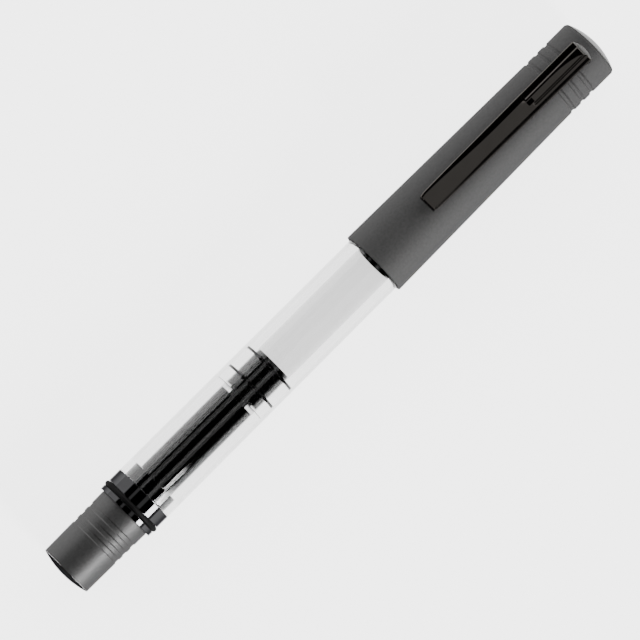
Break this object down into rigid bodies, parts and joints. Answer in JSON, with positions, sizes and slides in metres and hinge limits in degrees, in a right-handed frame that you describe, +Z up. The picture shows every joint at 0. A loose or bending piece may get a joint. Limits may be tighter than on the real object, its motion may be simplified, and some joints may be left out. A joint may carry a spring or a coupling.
{
  "type": "fountain pen",
  "caption": "Capped piston-filling fountain pen with a clear barrel, grooved turning knob, sprung clip and pull-off cap.",
  "frame": {"origin": "under the middle of the pen, on the surface that it lies on", "axes": "+X along the pen's axis towards the cap's end, +Z up through the clip, +Y sideways"},
  "size_m": [0.1378, 0.0134, 0.0156],
  "materials": {
    "cap_grey": "fine matte grain, dark grey",
    "knob_grey": "satin dark grey",
    "black_chrome": "polished black plating",
    "clear_acrylic": "polished clear acrylic",
    "gloss_black": "moulded gloss black",
    "clip_black": "gloss black sheet steel",
    "rubber": "soft black rubber",
    "steel": "polished stainless steel",
    "liner_grey": "moulded grey liner",
    "feed_black": "etched black feed"
  },
  "bodies": {
    "pen_body": {"barrel": "clear_acrylic", "tail_collar": "black_chrome", "posting_oring": "rubber", "guide_sleeve": "gloss_black", "rod_guide": "gloss_black", "retaining_ring": "steel", "section_ring": "black_chrome", "grip_section": "gloss_black", "section_oring": "rubber", "nib_housing": "gloss_black", "feed": "feed_black", "nib": "steel"},
    "knob": {"turning_knob": "knob_grey", "knob_finial": "knob_grey", "knob_screw": "steel", "drive_screw": "steel", "thrust_washer": "liner_grey"},
    "piston": {"piston_rod": "gloss_black", "piston_head": "gloss_black", "piston_seal_rear": "rubber", "piston_seal_front": "rubber"},
    "cap": {"cap_shell": "cap_grey", "inner_cap": "liner_grey", "cap_finial": "cap_grey"},
    "clip": {"clip": "clip_black"}
  },
  "joints": [
    {"name": "knob_turn", "type": "hinge", "parent": "pen_body", "child": "knob", "pos_m": [-0.0609, 0, 0.00667], "axis": [-1, 0, 0], "range_deg": [0, 1080]},
    {"name": "piston_travel", "type": "slide", "parent": "pen_body", "child": "piston", "axis": [1, 0, 0], "range_m": [0, 0.023]},
    {"name": "cap_pull", "type": "slide", "parent": "pen_body", "child": "cap", "axis": [1, 0, 0], "range_m": [0, 0.06]},
    {"name": "clip_lift", "type": "hinge", "parent": "cap", "child": "clip", "pos_m": [0.06525, 0, 0.01327], "axis": [0, 1, 0], "range_deg": [0, 3], "stiffness_Nm_per_rad": 1.5}
  ],
  "couplings": [
    {"joint": "piston_travel", "follows": "knob_turn", "m_per_rad": 0.00122}
  ]
}
